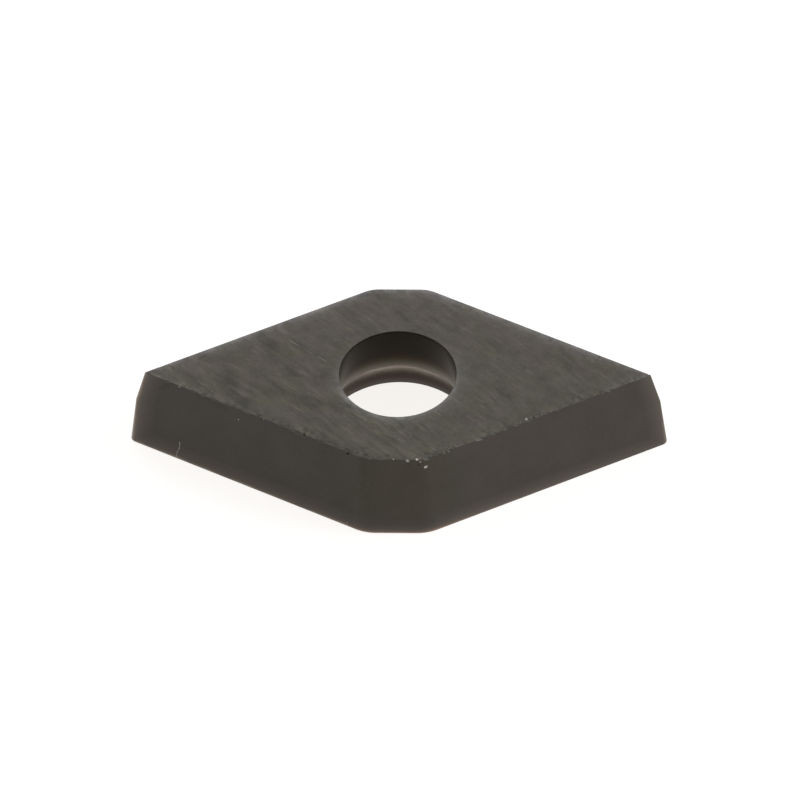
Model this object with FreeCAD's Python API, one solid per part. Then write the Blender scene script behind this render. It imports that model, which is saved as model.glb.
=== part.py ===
import FreeCAD, Part
import math
import os

# A screw-down turning insert, pressed from carbide powder and sintered as one piece. Its outline is a
# 55 degree diamond whose two blunt corners are cut off flat, and all its flanks lean inwards going up.
# It lies on its larger face, which faces up in a tool holder, and shows the ground smaller face that
# seats in the holder's pocket.
# Lengths are in millimetres and angles in degrees. The origin is the centre of the larger face, on the
# axis of the screw hole. +X runs along the long diagonal to one cutting nose, and +Z up to the smaller face.

# Outline of the larger face
inscribed_circle = 6.35     # all six flanks touch this circle
point_angle = 55.0          # between the two flanks that meet at a cutting nose
nose_radius = 0.18          # of the two cutting noses
blunt_radius = 1.1          # where the flat on a blunt corner runs into the flanks beside it

# Height, and how far the flanks lean inwards on the way up
thickness = 2.36
clearance_angle = 7.0

# Screw hole: a straight land under the smaller face, then a bell, then a recess for the screw's head
bore_diameter = 2.9
bell_radius = 1.216         # of the bell's rounded profile, which widens going down
bell_end_angle = 43.0       # how far the bell has turned from upright where it meets the recess
recess_depth = 0.732        # from the larger face up to the bell
recess_radius = 0.554       # of the hollow round that brings the bell's end back to the upright recess wall

# How far a cutting shape runs past the faces that it cuts
overcut = 0.2

circle_radius = inscribed_circle / 2
flank_slope = math.tan(math.radians(clearance_angle))
centre = FreeCAD.Vector(0, 0, 0)
up = FreeCAD.Vector(0, 0, 1)


def corners():
    """The six corners, anticlockwise: direction from the centre, turn between the two flanks, rounding."""
    nose_turn = 180 - point_angle
    blunt_turn = point_angle / 2
    half_round = [
        (0, nose_turn, nose_radius),
        (90 - blunt_turn / 2, blunt_turn, blunt_radius),
        (90 + blunt_turn / 2, blunt_turn, blunt_radius),
    ]
    return half_round + [(direction + 180, turn, radius) for direction, turn, radius in half_round]


def corner_point(direction, turn, flank_distance, height=0.0):
    """Where two flanks at one distance from the axis meet."""
    reach = flank_distance / math.cos(math.radians(turn / 2))
    angle = math.radians(direction)
    return FreeCAD.Vector(reach * math.cos(angle), reach * math.sin(angle), height)


def polygon_face(points):
    return Part.Face(Part.makePolygon(points + points[:1]))


def sharp_outline(height):
    """The outline at a height, with its corners still sharp."""
    flank_distance = circle_radius - height * flank_slope
    return [corner_point(direction, turn, flank_distance, height) for direction, turn, _ in corners()]


def tapered_block():
    """The diamond with cut blunt corners and leaning flanks, before any rounding."""
    lower = sharp_outline(0)
    upper = sharp_outline(thickness)
    faces = [polygon_face(lower), polygon_face(upper)]
    for i in range(len(lower)):
        j = (i + 1) % len(lower)
        faces.append(polygon_face([lower[i], lower[j], upper[j], upper[i]]))
    return Part.Solid(Part.Shell(faces))


def corner_waste(direction, turn, radius):
    """What rounding takes off a corner: all that lies outside an upright cone that touches both flanks.

    The cone narrows upwards at the flanks' own slope. A small one runs out to a point below the smaller
    face, and above that point its two flanks meet in a sharp edge.
    """
    top = thickness + overcut
    top_radius = radius - top * flank_slope
    if top_radius < 0:
        top = radius / flank_slope
        top_radius = 0
    outside = 2 * radius / math.cos(math.radians(turn / 2)) + overcut
    profile = polygon_face([
        FreeCAD.Vector(radius + overcut * flank_slope, 0, -overcut),
        FreeCAD.Vector(outside, 0, -overcut),
        FreeCAD.Vector(outside, 0, top),
        FreeCAD.Vector(top_radius, 0, top),
    ])
    waste = profile.revolve(centre, up, turn)
    waste.rotate(centre, up, direction - turn / 2)
    waste.translate(corner_point(direction, turn, circle_radius - radius))
    return waste


def screw_hole():
    """The space of the screw hole, its profile turned about the axis."""
    land_radius = bore_diameter / 2
    bell_turn = math.radians(bell_end_angle)
    bell_top = recess_depth + bell_radius * math.sin(bell_turn)
    mouth_radius = land_radius + (bell_radius + recess_radius) * (1 - math.cos(bell_turn))
    round_end = recess_depth - recess_radius * math.sin(bell_turn)
    bottom = min(round_end, 0) - overcut
    top = max(thickness, bell_top) + overcut

    def bell_point(turned):
        """A point of the bell's profile, where its wall has turned this far from upright."""
        radius = land_radius + bell_radius * (1 - math.cos(turned))
        return FreeCAD.Vector(radius, 0, bell_top - bell_radius * math.sin(turned))

    def round_point(turned):
        """A point of the hollow round's profile, where its wall still leans this far from upright."""
        radius = mouth_radius - recess_radius * (1 - math.cos(turned))
        return FreeCAD.Vector(radius, 0, round_end + recess_radius * math.sin(turned))

    seat = bell_point(bell_turn)
    mouth = FreeCAD.Vector(mouth_radius, 0, bottom)
    land_top = FreeCAD.Vector(land_radius, 0, top)
    axis_low = FreeCAD.Vector(0, 0, bottom)
    axis_high = FreeCAD.Vector(0, 0, top)
    profile = Part.Wire([
        Part.makeLine(axis_low, mouth),
        Part.makeLine(mouth, round_point(0)),
        Part.Arc(round_point(0), round_point(bell_turn / 2), seat).toShape(),
        Part.Arc(seat, bell_point(bell_turn / 2), bell_point(0)).toShape(),
        Part.makeLine(bell_point(0), land_top),
        Part.makeLine(land_top, axis_high),
        Part.makeLine(axis_high, axis_low),
    ])
    return Part.Face(profile).revolve(centre, up, 360)


corner_wastes = [corner_waste(direction, turn, radius) for direction, turn, radius in corners()]
insert = tapered_block().cut(corner_wastes + [screw_hole()])

os.makedirs("parts", exist_ok=True)
insert.exportStep("parts/insert.step")
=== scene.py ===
import math
import random

import bmesh
import bpy
from mathutils import Euler, Matrix, Vector


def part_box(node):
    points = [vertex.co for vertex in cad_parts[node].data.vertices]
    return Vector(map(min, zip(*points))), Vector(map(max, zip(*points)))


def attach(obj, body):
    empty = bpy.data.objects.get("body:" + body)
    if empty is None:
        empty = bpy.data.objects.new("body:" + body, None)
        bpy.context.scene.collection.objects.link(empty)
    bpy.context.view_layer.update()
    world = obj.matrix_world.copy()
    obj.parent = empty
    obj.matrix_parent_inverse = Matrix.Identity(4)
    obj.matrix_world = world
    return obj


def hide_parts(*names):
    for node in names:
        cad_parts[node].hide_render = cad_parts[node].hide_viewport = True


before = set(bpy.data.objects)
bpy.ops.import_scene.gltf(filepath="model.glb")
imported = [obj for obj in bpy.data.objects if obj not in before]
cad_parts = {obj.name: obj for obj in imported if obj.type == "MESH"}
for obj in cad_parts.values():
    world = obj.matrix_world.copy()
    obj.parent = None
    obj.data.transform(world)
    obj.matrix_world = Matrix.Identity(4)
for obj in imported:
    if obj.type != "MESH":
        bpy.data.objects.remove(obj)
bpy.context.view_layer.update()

# The pressing: carbide powder pressed in a die and sintered to one dense piece. It lies on its larger face,
# the rake face, and six flanks lean in towards the ground face on top. Each corner is a cone that narrows
# at the flanks' own slope, so on a nose it runs out to a point, and above it the flanks meet in an edge.
millimetre = 0.001
circle_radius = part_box("insert")[1][1] / millimetre
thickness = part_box("insert")[1][2] / millimetre
point_angle = 55.0
nose_radius = 0.18
blunt_radius = 1.1
clearance_angle = 7.0
flank_slope = math.tan(math.radians(clearance_angle))
sharpest_edge = 0.006
lower_rounding = 0.01
upper_rounding = 0.007
rounding_steps = 4
nose_steps = 40
blunt_steps = 20

nose_turn = 180 - point_angle
blunt_turn = point_angle / 2
corners = []
for half_turn in (0, 180):
    corners.append((half_turn, nose_turn, nose_radius, nose_steps))
    corners.append((half_turn + 90 - blunt_turn / 2, blunt_turn, blunt_radius, blunt_steps))
    corners.append((half_turn + 90 + blunt_turn / 2, blunt_turn, blunt_radius, blunt_steps))


def around(degrees, distance, height=0.0):
    """A point at a distance from the hole's axis, in a direction anticlockwise from +X."""
    angle = math.radians(degrees)
    return Vector((distance * math.cos(angle), distance * math.sin(angle), height))


def outline(pressing, height, inset):
    """One level of the pressing: an arc spun at each corner, and straight runs along the flanks between."""
    flank_distance = circle_radius - height * flank_slope - inset
    edges = []
    arc_ends = []
    for direction, turn, radius, steps in corners:
        rounding = max(radius - height * flank_slope - inset, sharpest_edge)
        centre = around(direction, (flank_distance - rounding) / math.cos(math.radians(turn / 2)), height)
        first = pressing.verts.new(centre + around(direction - turn / 2, rounding))
        known = len(pressing.edges)
        arc = bmesh.ops.spin(pressing, geom=[first], cent=centre, axis=(0, 0, 1),
                             angle=math.radians(turn), steps=steps)
        pressing.edges.ensure_lookup_table()
        edges.extend(pressing.edges[known:])
        arc_ends.append((first, arc["geom_last"][0]))
    for i in range(len(arc_ends)):
        following = (i + 1) % len(arc_ends)
        edges.append(pressing.edges.new((arc_ends[i][1], arc_ends[following][0])))
    return edges


levels = []
for step in range(rounding_steps + 1):
    angle = math.pi / 2 * step / rounding_steps
    levels.append((lower_rounding * (1 - math.cos(angle)), lower_rounding * (1 - math.sin(angle))))
levels.append(((nose_radius - sharpest_edge) / flank_slope, 0))
for step in range(rounding_steps + 1):
    angle = math.pi / 2 * step / rounding_steps
    height = thickness - upper_rounding * (1 - math.sin(angle))
    levels.append((height, upper_rounding * (1 - math.cos(angle))))

pressing = bmesh.new()
loops = [outline(pressing, height, inset) for height, inset in levels]
for i in range(len(loops) - 1):
    bmesh.ops.bridge_loops(pressing, edges=loops[i] + loops[i + 1])
rake_cap = bmesh.ops.contextual_create(pressing, geom=loops[0])["faces"][0]
ground_cap = bmesh.ops.contextual_create(pressing, geom=loops[-1])["faces"][0]
bmesh.ops.recalc_face_normals(pressing, faces=pressing.faces)


def as_object(shape, name):
    """Turns a bmesh drawn in millimetres into an object at true size."""
    bmesh.ops.scale(shape, vec=(millimetre, millimetre, millimetre), verts=shape.verts)
    mesh = bpy.data.meshes.new(name)
    shape.to_mesh(mesh)
    shape.free()
    made = bpy.data.objects.new(name, mesh)
    bpy.context.scene.collection.objects.link(made)
    return made


def add_node(material, kind, inputs, **options):
    """Adds a shader node; an input is given by name or number, as a value or as another node's output."""
    made = material.node_tree.nodes.new(kind)
    for option, value in options.items():
        setattr(made, option, value)
    for name, value in inputs.items():
        if isinstance(value, bpy.types.NodeSocket):
            material.node_tree.links.new(value, made.inputs[name])
        else:
            made.inputs[name].default_value = value
    return made


def arithmetic(material, operation, first, second):
    return add_node(material, "ShaderNodeMath", {0: first, 1: second}, operation=operation).outputs[0]


def weighted_sum(material, *shares):
    """Adds up values, each with its own weight."""
    total = arithmetic(material, "MULTIPLY", *shares[0])
    for value, weight in shares[1:]:
        part = arithmetic(material, "MULTIPLY", value, weight)
        total = arithmetic(material, "ADD", total, part)
    return total


def per_metre(size):
    """A texture scale whose features are about this many millimetres."""
    return 1 / (size * millimetre)


def noise(material, place, size, detail=2.0):
    """Noise between zero and one, in features of about this many millimetres."""
    inputs = {"Vector": place, "Scale": per_metre(size), "Detail": detail}
    return add_node(material, "ShaderNodeTexNoise", inputs).outputs[0]


def ramp(material, value, *stops):
    """A colour for each value, blended between stops of position and colour."""
    made = add_node(material, "ShaderNodeValToRGB", {"Fac": value})
    elements = made.color_ramp.elements
    elements.remove(elements[1])
    elements[0].position = stops[0][0]
    elements[0].color = (*stops[0][1], 1)
    for position, colour in stops[1:]:
        elements.new(position).color = (*colour, 1)
    return made.outputs[0]


def scaled(material, vector, factor):
    inputs = {0: vector, "Scale": factor}
    return add_node(material, "ShaderNodeVectorMath", inputs, operation="SCALE").outputs[0]


def multiplied(material, colour, tint, share=1.0):
    """A colour with a tint over it, in full or in part."""
    inputs = {0: share, 6: colour, 7: tint}
    return add_node(material, "ShaderNodeMix", inputs, data_type="RGBA", blend_type="MULTIPLY").outputs[2]


def mapped(material, value, low, high, low_result=0.0, high_result=1.0):
    """Turns one span of values into another, and holds its ends."""
    span = {"Value": value, "From Min": low, "From Max": high, "To Min": low_result, "To Max": high_result}
    return add_node(material, "ShaderNodeMapRange", span).outputs[0]


half_point = math.radians(point_angle / 2)
cone_tip = (circle_radius - nose_radius) / math.sin(half_point) + nose_radius
edge_tip = circle_radius / math.sin(half_point)


def pressed_skin(name, colours, unevenness, specular, roughness, tints=((0, (1, 1, 1)),), metallic=0.0):
    """A satin skin with the powder's fine grain in tone, gloss and relief, and slow clouds of tone.

    Its colours are stops of height above the larger face, counted from a nose's tip where that is nearer,
    and on the flanks and in the hole they paint light and shade.
    Tints are stops of the same distance, and go over the colours in the middle of the insert's length.
    """
    skin = bpy.data.materials.new(name)
    skin.use_nodes = True
    shader = skin.node_tree.nodes["Principled BSDF"]
    shader.inputs["Specular IOR Level"].default_value = specular
    shader.inputs["Metallic"].default_value = metallic
    place = add_node(skin, "ShaderNodeTexCoord", {}).outputs["Object"]
    axes = add_node(skin, "ShaderNodeSeparateXYZ", {0: scaled(skin, place, per_metre(1))}).outputs
    across = arithmetic(skin, "ABSOLUTE", axes["X"], 0.0)
    from_cone = weighted_sum(skin, (cone_tip, 1.0), (axes["Z"], -flank_slope), (across, -1.0))
    edge_slope = flank_slope / math.sin(half_point)
    from_line = weighted_sum(skin, (edge_tip, 1.0), (axes["Z"], -edge_slope), (across, -1.0))
    from_tip = arithmetic(skin, "MINIMUM", from_cone, from_line)
    from_outline = arithmetic(skin, "MINIMUM", axes["Z"], from_tip)
    grain = noise(skin, place, 0.05, 3.0)
    cloud = noise(skin, place, 0.9)
    # On the +X side the height stops sit higher up, so painted light there is a little weaker
    uneven = weighted_sum(skin, (from_outline, 1 / thickness), (cloud, 0.06), (grain, 0.02), (-0.04, 1.0),
                          (across, 0.003), (axes["X"], 0.003))
    tone = ramp(skin, uneven, *((distance / thickness, colour) for distance, colour in colours))
    mixed = weighted_sum(skin, (grain, 0.5), (cloud, 0.5))
    tone = scaled(skin, tone, mapped(skin, mixed, 0.3, 0.7, 1 - unevenness, 1 + unevenness))
    middle_tint = ramp(skin, from_outline, *tints)
    off_middle = mapped(skin, weighted_sum(skin, (across, 0.4), (cloud, 0.5)), 0.55, 1.05)
    tone = multiplied(skin, tone, middle_tint, arithmetic(skin, "SUBTRACT", 1.0, off_middle))
    skin.node_tree.links.new(tone, shader.inputs["Base Color"])
    gloss = mapped(skin, mixed, 0, 1, roughness - 0.05, roughness + 0.05)
    skin.node_tree.links.new(gloss, shader.inputs["Roughness"])
    bump = add_node(skin, "ShaderNodeBump", {"Distance": 0.002 * millimetre, "Height": grain}).outputs[0]
    skin.node_tree.links.new(bump, shader.inputs["Normal"])
    return skin


# Painted light: the flanks grow lighter and warmer towards the lower edge, standing in for the paper's
# light thrown up onto their feet. Over the middle of the insert's length, tints reshape that painted light:
# a little redder at the foot, darker and greyer higher up, and olive higher still.
flank_painted_bounce_colours = (
    (0.02, (0.325, 0.28, 0.235)),
    (0.055, (0.165, 0.134, 0.106)),
    (0.09, (0.115, 0.094, 0.076)),
    (0.15, (0.088, 0.073, 0.060)),
    (0.28, (0.067, 0.055, 0.045)),
    (0.5, (0.0475, 0.039, 0.032)),
)
flank_painted_bounce_tints = (
    (0.03, (1.08, 0.92, 0.86)),
    (0.12, (0.89, 0.86, 0.87)),
    (0.25, (0.77, 0.79, 0.81)),
    (0.4, (0.83, 0.86, 0.81)),
    (0.55, (0.92, 0.957, 0.775)),
)
rake_colours = ((0.0, (0.054, 0.046, 0.039)),)
finishes = {
    "flank": pressed_skin("pressed_flank_painted_bounce", flank_painted_bounce_colours, unevenness=0.18, specular=0.2, roughness=0.5,
                          tints=flank_painted_bounce_tints),
    "rake": pressed_skin("rake_face", rake_colours, unevenness=0.2, specular=0.25, roughness=0.45),
}
rake_cap.material_index = list(finishes).index("rake")

# The ground face, which beds in the holder's pocket: a cup wheel has ground it flat and left fine arcs
# across it, crossed by fainter ones of a second pass. Its back borders and the front of the hole's rim
# carry a painted highlight, the face is painted a little lighter towards the back, and a stretch of its
# front border is duller.
upper_distance = circle_radius - thickness * flank_slope
land_radius = 1.45
ground = bpy.data.materials.new("ground_face")
ground.use_nodes = True
shader = ground.node_tree.nodes["Principled BSDF"]
shader.inputs["Specular IOR Level"].default_value = 0.25
place = add_node(ground, "ShaderNodeTexCoord", {}).outputs["Object"]


def wheel_track(direction, distance):
    """Distances across and along the arcs of a wheel whose centre is this far off, in this direction."""
    centre = around(direction, distance) * millimetre
    from_wheel = add_node(ground, "ShaderNodeVectorMath", {0: place, 1: centre}, operation="SUBTRACT")
    from_wheel = from_wheel.outputs[0]
    parts = add_node(ground, "ShaderNodeSeparateXYZ", {0: from_wheel}).outputs
    turned = arithmetic(ground, "ARCTAN2", parts["Y"], parts["X"])
    flat = add_node(ground, "ShaderNodeCombineXYZ", {"X": parts["X"], "Y": parts["Y"]}).outputs[0]
    radius = add_node(ground, "ShaderNodeVectorMath", {0: flat}, operation="LENGTH").outputs["Value"]
    return radius, arithmetic(ground, "MULTIPLY", turned, distance * millimetre)


def wheel_marks(track, width, length, detail, seed):
    """Noise drawn out along a wheel's arcs, in marks of about this width and length in millimetres."""
    across = arithmetic(ground, "MULTIPLY", track[0], per_metre(width))
    along = arithmetic(ground, "MULTIPLY", track[1], per_metre(length))
    drawn_out = add_node(ground, "ShaderNodeCombineXYZ", {"X": across, "Y": along, "Z": seed}).outputs[0]
    inputs = {"Vector": drawn_out, "Scale": 1.0, "Detail": detail}
    return add_node(ground, "ShaderNodeTexNoise", inputs).outputs[0]


first_pass = wheel_track(direction=-130, distance=60)
second_pass = wheel_track(direction=-140, distance=45)
broad_marks = wheel_marks(first_pass, width=0.5, length=2.0, detail=1.0, seed=3.0)
middle_marks = wheel_marks(first_pass, width=0.19, length=0.9, detail=2.0, seed=7.0)
crossing_marks = wheel_marks(second_pass, width=0.13, length=0.7, detail=2.0, seed=5.0)
fine_marks = wheel_marks(first_pass, width=0.06, length=0.5, detail=2.0, seed=11.0)
scratches = wheel_marks(first_pass, width=0.05, length=0.7, detail=0.0, seed=19.0)
grain = noise(ground, place, 0.07)
blotches = noise(ground, place, 0.4)
patches = mapped(ground, noise(ground, place, 1.3, 1.0), 0.35, 0.65, 0.2, 1.5)
axes = add_node(ground, "ShaderNodeSeparateXYZ", {0: scaled(ground, place, per_metre(1))}).outputs
slanting = weighted_sum(ground, (axes["X"], 1.0), (axes["Y"], 0.8))
fading = mapped(ground, slanting, -4.5, 4.5, 1.2, 0.65)
marks = weighted_sum(ground, (broad_marks, 0.35), (middle_marks, 0.45), (crossing_marks, 0.3),
                     (fine_marks, 0.15), (-0.625, 1.0))
marks = arithmetic(ground, "MULTIPLY", marks, arithmetic(ground, "MULTIPLY", patches, fading))
flat_side = arithmetic(ground, "ABSOLUTE", axes["Y"], 0.0)
# Painted light: the face is made a little lighter towards the back
marks = weighted_sum(ground, (marks, 1.0), (grain, 0.25), (blotches, 0.38), (axes["Y"], 0.013),
                     (flat_side, 0.012), (0.185, 1.0))
darkest_mark = (0.031, 0.027, 0.0205)
lightest_mark = (0.079, 0.0695, 0.055)
tone = ramp(ground, marks, (0.3, darkest_mark), (0.7, lightest_mark))
hue = weighted_sum(ground, (noise(ground, place, 0.6, 1.0), 1.0), (axes["Y"], -0.04))
cool_tint = (1.02, 0.985, 1.05)
olive_tint = (0.985, 1.01, 0.94)
tone = multiplied(ground, tone, ramp(ground, hue, (0.38, cool_tint), (0.62, olive_tint)))
bright_scratches = mapped(ground, scratches, 0.66, 0.8, 0.0, 0.45)

# How far a spot is from the face's outline and from the hole's rim
mirrored = add_node(ground, "ShaderNodeVectorMath", {0: place}, operation="ABSOLUTE").outputs[0]
lean_direction = around(90 - point_angle / 2, per_metre(1))
lean_side = add_node(ground, "ShaderNodeVectorMath", {0: mirrored, 1: lean_direction},
                     operation="DOT_PRODUCT").outputs["Value"]
nearest_side = arithmetic(ground, "MAXIMUM", lean_side, flat_side)
from_edge = arithmetic(ground, "SUBTRACT", upper_distance, nearest_side)
level_place = add_node(ground, "ShaderNodeCombineXYZ", {"X": axes["X"], "Y": axes["Y"]}).outputs[0]
from_axis = add_node(ground, "ShaderNodeVectorMath", {0: level_place}, operation="LENGTH").outputs["Value"]
from_rim = arithmetic(ground, "SUBTRACT", from_axis, land_radius)


def painted_border_highlight(distance, front_share, back_share):
    """How strong the painted highlight along a border is, for its distance from the edge and its side of
    the insert.
    """
    ragged = weighted_sum(ground, (distance, 1.0), (noise(ground, place, 0.3), 0.16), (-0.08, 1.0))
    amount = ramp(ground, ragged, (0.03, (1, 1, 1)), (0.09, (0.58, 0.58, 0.58)), (0.15, (0.25, 0.25, 0.25)),
                  (0.36, (0, 0, 0)))
    return scaled(ground, amount, mapped(ground, axes["Y"], -0.7, 0.7, front_share, back_share))


# Painted highlight: a light, cool band along the back edges and along the front of the hole's rim
outline_painted_highlight = painted_border_highlight(from_edge, front_share=0.0, back_share=1.25)
rim_painted_highlight = painted_border_highlight(from_rim, front_share=1.2, back_share=0.0)
painted_highlight_tint = (1.0, 1.2, 1.6, 1.0)
highlighted_borders_painted = add_node(ground, "ShaderNodeVectorMath", {0: outline_painted_highlight, 1: rim_painted_highlight},
                         operation="MAXIMUM").outputs[0]
highlighted_borders_painted = multiplied(ground, highlighted_borders_painted, painted_highlight_tint)

# A dull stretch of the front border, and crumbs along the outline
border_width = weighted_sum(ground, (noise(ground, place, 0.7, 1.0), 0.5), (0.1, 1.0))
dull_stretch = arithmetic(ground, "ABSOLUTE", weighted_sum(ground, (axes["X"], 1.0), (1.8, 1.0)), 0.0)
dull_border = arithmetic(ground, "MULTIPLY", mapped(ground, from_edge, 0.1, border_width, 1.0, 0.0),
                         mapped(ground, dull_stretch, 1.2, 2.0, 0.2, 0.0))
dull_border = arithmetic(ground, "MULTIPLY", dull_border, mapped(ground, axes["Y"], -0.7, 0.7, 1.0, 0.0))
crumble_depth = arithmetic(ground, "SUBTRACT", from_edge, noise(ground, place, 0.3))
crumbled = mapped(ground, crumble_depth, -0.5, -0.3, 1.0, 0.0)
crumbs = mapped(ground, noise(ground, place, 0.12, 1.0), 0.36, 0.64, -0.4, 0.35)
wear_and_painted_highlight = weighted_sum(ground, (crumbs, crumbled), (bright_scratches, 1.0), (dull_border, -1.0), (1.0, 1.0))
# Adds the painted highlight to the real wear and scratches
wear_and_painted_highlight = add_node(ground, "ShaderNodeVectorMath", {0: highlighted_borders_painted, 1: wear_and_painted_highlight}, operation="ADD").outputs[0]
colour = add_node(ground, "ShaderNodeVectorMath", {0: tone, 1: wear_and_painted_highlight}, operation="MULTIPLY").outputs[0]

ground.node_tree.links.new(colour, shader.inputs["Base Color"])
ground.node_tree.links.new(mapped(ground, fine_marks, 0, 1, 0.4, 0.6), shader.inputs["Roughness"])
relief = weighted_sum(ground, (middle_marks, 0.5), (crossing_marks, 0.3), (fine_marks, 0.3), (grain, 0.2))
bump = add_node(ground, "ShaderNodeBump", {"Distance": 0.004 * millimetre, "Height": relief}).outputs[0]
ground.node_tree.links.new(bump, shader.inputs["Normal"])
finishes["ground"] = ground
ground_cap.material_index = list(finishes).index("ground")
insert = as_object(pressing, "pressed_insert")

# The screw hole, which the die's core pin leaves: a straight land under the ground face, a bell that
# rounds out below it, and a recess that opens to the larger face and takes the screw's head.
bell_radius = 1.216
bell_turn = 43.0
bell_steps = 40
recess_height = 0.732
recess_radius = 0.554
recess_steps = 30
rim_rounding = 0.012
overcut = 0.2
land_rings = 8
turning_steps = 256
merge_distance = 0.0001
# Painted light: the hole's colour by height stands in for the paper's light under the hole, with a lighter
# brown foot, a bright ring around the top of the bell, and a dark land below the rim.
hole_painted_light_colours = (
    (0.0, (0.090, 0.079, 0.071)),
    (0.06, (0.079, 0.069, 0.062)),
    (0.13, (0.064, 0.051, 0.046)),
    (0.2, (0.048, 0.037, 0.0315)),
    (0.3, (0.049, 0.036, 0.032)),
    (0.35, (0.058, 0.045, 0.039)),
    (0.43, (0.087, 0.073, 0.062)),
    (0.53, (0.156, 0.133, 0.117)),
    (0.6, (0.30, 0.27, 0.24)),
    (0.68, (0.52, 0.47, 0.42)),
    (0.8, (0.56, 0.51, 0.46)),
    (0.92, (0.17, 0.148, 0.122)),
    (1.02, (0.039, 0.032, 0.025)),
    (1.26, (0.033, 0.0265, 0.019)),
    (1.4, (0.0235, 0.018, 0.012)),
    (1.65, (0.020, 0.0165, 0.0135)),
    (2.3, (0.018, 0.015, 0.012)),
)
hole_edge_tint = (0.88, 0.85, 0.8, 1)
worn_colours = ((0.0, (0.062, 0.057, 0.050)),)
finishes["hole"] = pressed_skin("hole_wall_painted_light", hole_painted_light_colours, unevenness=0.15, specular=0.5, roughness=0.38,
                                metallic=1.0)
shader = finishes["hole"].node_tree.nodes["Principled BSDF"]
shader.inputs["Specular Tint"].default_value = hole_edge_tint
finishes["worn"] = pressed_skin("worn_edge", worn_colours, unevenness=0.4, specular=0.3, roughness=0.5)

bell_angle = math.radians(bell_turn)
bell_top = recess_height + bell_radius * math.sin(bell_angle)
core_pin = bmesh.new()
path = [
    core_pin.verts.new((0, 0, thickness + overcut)),
    core_pin.verts.new((land_radius + rim_rounding, 0, thickness + overcut)),
    core_pin.verts.new((land_radius + rim_rounding, 0, thickness)),
]
rim_centre = Vector((land_radius + rim_rounding, 0, thickness - rim_rounding))
rim = bmesh.ops.spin(core_pin, geom=[path[-1]], cent=rim_centre, axis=(0, -1, 0),
                     angle=math.pi / 2, steps=rounding_steps)
path.append(rim["geom_last"][0])
land_foot = core_pin.verts.new((land_radius, 0, bell_top))
core_pin.edges.new((path[-1], land_foot))
bell = bmesh.ops.spin(core_pin, geom=[land_foot], cent=(land_radius + bell_radius, 0, bell_top),
                      axis=(0, -1, 0), angle=bell_angle, steps=bell_steps)
bell_end = bell["geom_last"][0]
recess_centre = bell_end.co - recess_radius * Vector((math.cos(bell_angle), 0, math.sin(bell_angle)))
hollow = bmesh.ops.spin(core_pin, geom=[bell_end], cent=recess_centre, axis=(0, 1, 0),
                        angle=bell_angle, steps=recess_steps)
recess_wall = hollow["geom_last"][0]
mouth = core_pin.verts.new((recess_wall.co.x, 0, -overcut))
axis_foot = core_pin.verts.new((0, 0, -overcut))
for start, end in ((path[0], path[1]), (path[1], path[2]), (recess_wall, mouth), (mouth, axis_foot)):
    core_pin.edges.new((start, end))
land_edge = core_pin.edges.get((path[-1], land_foot))
bmesh.ops.subdivide_edges(core_pin, edges=[land_edge], cuts=land_rings)
bmesh.ops.spin(core_pin, geom=core_pin.verts[:] + core_pin.edges[:], cent=(0, 0, 0), axis=(0, 0, 1),
               angle=math.tau, steps=turning_steps, use_merge=True)
bmesh.ops.remove_doubles(core_pin, verts=core_pin.verts, dist=merge_distance)
bmesh.ops.recalc_face_normals(core_pin, faces=core_pin.faces)
for face in core_pin.faces:
    face.smooth = True
    if face.calc_center_median().z > thickness - rim_rounding:
        face.material_index = list(finishes).index("worn")
    else:
        face.material_index = list(finishes).index("hole")
hole_tool = as_object(core_pin, "core_pin")

# Chips and scratches. Carbide is brittle, so grinding and handling have crumbled its edges in tiny
# shell-shaped bites. A few deeper ones, and a crooked scratch on one flank, are fresh and bright.
back_bite_share = 0.15
closing_gap = 0.2
sharp_angle = 30
fresh_colours = ((0.0, (0.43, 0.415, 0.395)),)
scraped_colours = ((0.0, (0.12, 0.112, 0.099)),)
finishes["fresh"] = pressed_skin("fresh_chip", fresh_colours, unevenness=0.5, specular=0.5, roughness=0.35)
finishes["scraped"] = pressed_skin("scraped_line", scraped_colours, unevenness=0.3, specular=0.3,
                                   roughness=0.45)
chance = random.Random(7)


def bite(bites, place, half_lengths, turned, finish):
    """Adds a rough pebble, to be cut away; its half lengths run along its own three axes."""
    matrix = Matrix.LocRotScale(place, turned, Vector(half_lengths))
    pebble = bmesh.ops.create_icosphere(bites, subdivisions=2, radius=1.0, matrix=matrix)
    for vertex in pebble["verts"]:
        vertex.co = place + (vertex.co - place) * chance.uniform(0.85, 1.1)
        for face in vertex.link_faces:
            face.material_index = list(finishes).index(finish)


def ragged_edge(bites, length, spot, spacing, shallowest, deepest):
    """Bites one after another along an edge; spot gives its point and outward direction at a distance."""
    along = spacing * chance.random()
    while along < length:
        depth = shallowest + (deepest - shallowest) * chance.random() ** 2
        half_length = spacing * chance.uniform(0.2, 0.44)
        across = depth + chance.uniform(0.4, 1.0) * half_length
        point, outward = spot(along)
        heading = math.atan2(outward.y, outward.x) + math.pi / 2
        turned = Euler((0, chance.uniform(-0.15, 0.15), heading))
        bite(bites, point + outward * (across - depth), (half_length, across, across), turned, "worn")
        along += spacing


def flank_edge(start, end, rise):
    """The spots of a straight edge, whose bites face outwards and up or down by this much."""
    side = Vector((end.y - start.y, start.x - end.x, 0)).normalized()
    outward = (side + Vector((0, 0, rise))).normalized()
    return lambda along: (start.lerp(end, along / (end - start).length), outward)


def rim_spot(along):
    """A spot of the hole's rim, whose bites face the axis and up."""
    degrees = math.degrees(along / land_radius)
    return around(degrees, land_radius, thickness), (around(degrees, -1) + Vector((0, 0, 1))).normalized()


lower_corners = []
upper_corners = []
for direction, turn, _, _ in corners:
    lower_corners.append(around(direction, circle_radius / math.cos(math.radians(turn / 2))))
    upper_corners.append(around(direction, upper_distance / math.cos(math.radians(turn / 2)), thickness))

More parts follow.
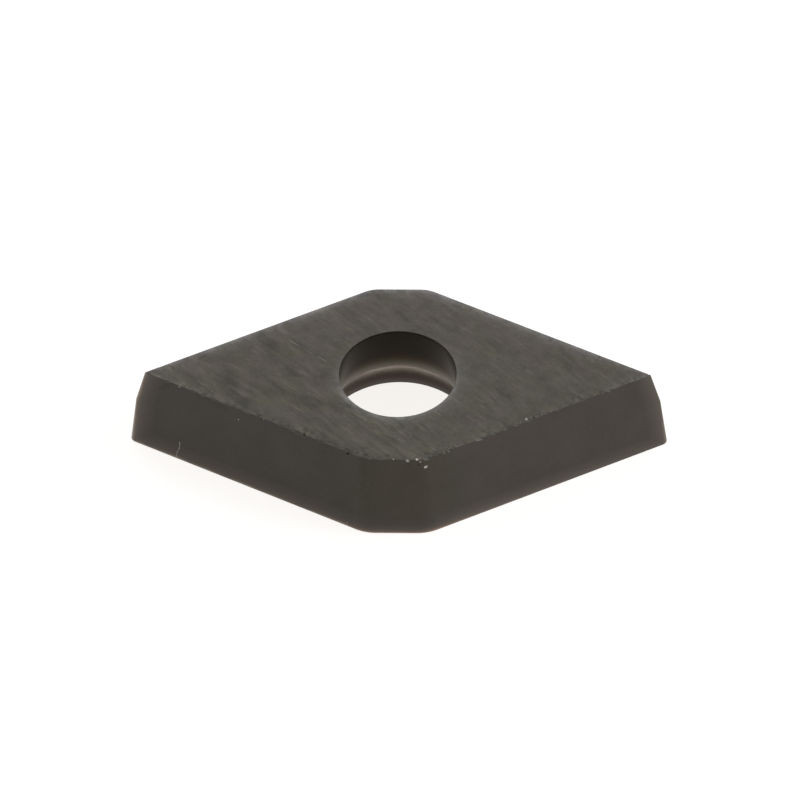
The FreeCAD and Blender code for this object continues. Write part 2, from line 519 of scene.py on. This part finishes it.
# Fine, middling and coarse bites along the upper edges, and faint ones along the lower
bite_tools = []
for edge_corners, rise, spacing, shallowest, deepest in (
    (upper_corners, 1.0, 0.13, 0.003, 0.015),
    (upper_corners, 0.8, 0.31, 0.008, 0.044),
    (upper_corners, 0.6, 0.72, 0.016, 0.062),
    (lower_corners, -0.8, 0.37, 0.002, 0.012),
):
    bites = bmesh.new()
    for i in range(len(edge_corners)):
        start = edge_corners[i]
        end = edge_corners[(i + 1) % len(edge_corners)]
        share = 1.0 if start.y + end.y < 0 else back_bite_share
        ragged_edge(bites, (end - start).length, flank_edge(start, end, rise), spacing,
                    shallowest * share, deepest * share)
    bite_tools.append(as_object(bites, "bites_%d" % len(bite_tools)))
rim_bites = bmesh.new()
rim_length = math.tau * land_radius - closing_gap
ragged_edge(rim_bites, rim_length, rim_spot, spacing=0.15, shallowest=0.002, deepest=0.018)
bite_tools.append(as_object(rim_bites, "rim_bites"))

# The nicks that stand out, each with its place, half length and finish
nicks = (
    (0.30, -2.88, 2.32, 0.046, "fresh"),
    (0.53, -2.87, 2.36, 0.044, "fresh"),
    (0.61, -2.88, 2.29, 0.030, "fresh"),
    (0.57, -2.90, 2.19, 0.028, "worn"),
    (0.74, -2.90, 2.11, 0.055, "fresh"),
    (1.19, -2.63, 2.33, 0.030, "fresh"),
    (3.07, -1.60, 2.36, 0.038, "scraped"),
    (3.19, -1.50, 2.36, 0.042, "fresh"),
    (3.37, -1.46, 2.34, 0.036, "scraped"),
    (3.58, -1.36, 2.35, 0.020, "fresh"),
    (-5.38, -0.46, 2.33, 0.022, "fresh"),
    (-3.27, -1.56, 2.34, 0.034, "fresh"),
    (-3.90, -1.27, 2.03, 0.018, "fresh"),
    (-0.05, -2.87, 2.36, 0.022, "fresh"),
    (0.00, -2.92, 2.01, 0.020, "scraped"),
    (0.09, -2.97, 1.62, 0.022, "scraped"),
    (-0.69, -2.98, 1.57, 0.020, "scraped"),
    (-6.30, -0.29, 0.08, 0.024, "scraped"),
    (-1.23, -2.93, 0.10, 0.026, "fresh"),
    # These two pits take the hole's dark finish as painted shade
    (-1.18, -2.66, 2.32, 0.044, "hole"),
    (-2.25, -2.07, 2.36, 0.028, "hole"),
    (1.34, -2.59, 2.37, 0.085, "worn"),
)
nick_shapes = bmesh.new()
for x, y, z, size, finish in nicks:
    turned = Euler((chance.random(), chance.random(), chance.random()))
    half_lengths = (size, size * chance.uniform(0.7, 1.0), size * chance.uniform(0.7, 1.0))
    bite(nick_shapes, Vector((x, y, z)), half_lengths, turned, finish)
bite_tools.append(as_object(nick_shapes, "nicks"))

# The scratches, each with its finish, half width and bends
scratch_runs = (
    ("fresh", 0.011, ((-5.42, -0.67, 0.60), (-5.42, -0.70, 0.45), (-5.43, -0.70, 0.39),
                      (-5.45, -0.70, 0.31), (-5.48, -0.69, 0.25), (-5.51, -0.69, 0.15),
                      (-5.51, -0.71, 0.03))),
    ("scraped", 0.018, ((-2.80, 1.20, 2.37), (-2.38, 0.85, 2.37), (-2.05, 0.62, 2.37),
                        (-1.70, 0.35, 2.37))),
    ("scraped", 0.016, ((-0.26, -1.98, 2.37), (0.00, -2.15, 2.37), (0.24, -2.34, 2.37))),
    ("scraped", 0.014, ((0.30, -2.01, 2.37), (0.43, -2.17, 2.37))),
    ("scraped", 0.020, ((0.82, -2.44, 2.37), (1.10, -2.63, 2.37))),
    ("scraped", 0.016, ((-1.11, -1.15, 2.37), (-0.85, -1.34, 2.37), (-0.62, -1.47, 2.37))),
    ("worn", 0.018, ((1.60, 1.00, 2.37), (1.82, 0.74, 2.37), (2.00, 0.45, 2.37))),
    ("worn", 0.016, ((2.22, -0.15, 2.37), (2.54, -0.48, 2.37), (2.90, -0.70, 2.37))),
)
scratch_shapes = bmesh.new()
for finish, half_width, points in scratch_runs:
    for i in range(len(points) - 1):
        start = Vector(points[i])
        end = Vector(points[i + 1])
        half_lengths = (0.47 * (end - start).length, half_width, half_width)
        bite(scratch_shapes, (start + end) / 2, half_lengths, (end - start).to_track_quat("X", "Z"), finish)
bite_tools.append(as_object(scratch_shapes, "scratches"))

for skin in finishes.values():
    insert.data.materials.append(skin)
for tool in [hole_tool] + bite_tools:
    cut = insert.modifiers.new(tool.name, "BOOLEAN")
    cut.object = tool
    cut.solver = "MANIFOLD"
    for skin in finishes.values():
        tool.data.materials.append(skin)
worked_out = insert.evaluated_get(bpy.context.evaluated_depsgraph_get())
insert_mesh = bpy.data.meshes.new_from_object(worked_out)
insert_mesh.set_sharp_from_angle(angle=math.radians(sharp_angle))
insert.modifiers.clear()
insert.data = insert_mesh
for tool in [hole_tool] + bite_tools:
    bpy.data.objects.remove(tool)

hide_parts("insert")
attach(insert, "root")

# The sheet of white paper that the insert lies on. The picture shows it as white, with only a faint
# shadow of the insert, which is darker inside the screw hole.
paper_depth = 0.02
paper_reach = 400
sheet = bmesh.new()
bmesh.ops.create_grid(sheet, x_segments=1, y_segments=1, size=paper_reach,
                      matrix=Matrix.Translation((0, 0, -paper_depth)))
floor = as_object(sheet, "paper")
paper_colour = (0.97, 0.97, 0.97, 1)
shaded_paper_colour = (0.886, 0.855, 0.82, 1)
lit_paper_colour = (0.2, 0.22, 0.25, 1)
paper = bpy.data.materials.new("paper")
paper.use_nodes = True
paper.node_tree.nodes.clear()
white = add_node(paper, "ShaderNodeBsdfDiffuse", {"Color": paper_colour}).outputs[0]
glow = add_node(paper, "ShaderNodeEmission", {"Color": shaded_paper_colour, "Strength": 1.0}).outputs[0]
lit = add_node(paper, "ShaderNodeBsdfDiffuse", {"Color": lit_paper_colour}).outputs[0]
shown = add_node(paper, "ShaderNodeAddShader", {0: glow, 1: lit}).outputs[0]


def seen_directly(material):
    """One for rays that come straight, by reflection or through glass from the camera, else zero."""
    rays = add_node(material, "ShaderNodeLightPath", {}).outputs
    seen = arithmetic(material, "MAXIMUM", rays["Is Camera Ray"], rays["Is Glossy Ray"])
    return arithmetic(material, "MAXIMUM", seen, rays["Is Transmission Ray"])


mixed = add_node(paper, "ShaderNodeMixShader", {0: seen_directly(paper), 1: white, 2: shown}).outputs[0]
add_node(paper, "ShaderNodeOutputMaterial", {"Surface": mixed})
floor.data.materials.append(paper)

# Light: an even white surround, a broad lamp on the right and a weaker one above and behind. What the
# camera or a reflection sees of the surround is plain white.
surround_level = 0.52
world = bpy.data.worlds.new("surround")
bpy.context.scene.world = world
world.use_nodes = True
world.node_tree.nodes.clear()
level = mapped(world, seen_directly(world), 0, 1, surround_level, 1.0)
surround = add_node(world, "ShaderNodeBackground", {"Color": (1, 1, 1, 1), "Strength": level}).outputs[0]
add_node(world, "ShaderNodeOutputWorld", {"Surface": surround})


def lamp(name, direction, elevation, distance, size, brightness):
    """A square lamp that faces the insert; its brightness is what a white card would show by its light."""
    light = bpy.data.lights.new(name, "AREA")
    light.size = size * millimetre
    light.energy = brightness * math.pi * math.pi * (distance * millimetre) ** 2
    made = bpy.data.objects.new(name, light)
    bpy.context.scene.collection.objects.link(made)
    level_distance = distance * math.cos(math.radians(elevation))
    height = distance * math.sin(math.radians(elevation))
    spot = around(direction, level_distance, height) * millimetre
    made.location = spot
    made.rotation_euler = spot.to_track_quat("Z", "Y").to_euler()


lamp("right_lamp", direction=2, elevation=36, distance=300, size=160, brightness=0.60)
lamp("back_lamp", direction=120, elevation=55, distance=300, size=160, brightness=0.25)

# The camera: a long lens that looks down on the insert's cut front corner from 206 millimetres away, with
# the screw hole near the middle of its frame.
camera_elevation = 46.9595
camera_direction = 1.8639
camera_roll = -1.0345
camera_distance = 206.185
aim_across = 0.0441
aim_up = 0.9608
focal_length = 372.702
sensor_width = 36
nearest_view = 10
lens = bpy.data.cameras.new("camera")
lens.lens = focal_length
lens.sensor_width = sensor_width
lens.clip_start = nearest_view * millimetre
camera = bpy.data.objects.new("camera", lens)
bpy.context.scene.collection.objects.link(camera)
bpy.context.scene.camera = camera
turned = (Matrix.Rotation(math.radians(camera_direction), 4, "Z")
          @ Matrix.Rotation(math.radians(90 - camera_elevation), 4, "X"))
stand = turned @ Vector((aim_across, aim_up, camera_distance)) * millimetre
tilt = Matrix.Rotation(math.radians(camera_roll), 4, "Z")
camera.matrix_world = Matrix.Translation(stand) @ turned @ tilt

bpy.context.scene.view_settings.view_transform = "Standard"
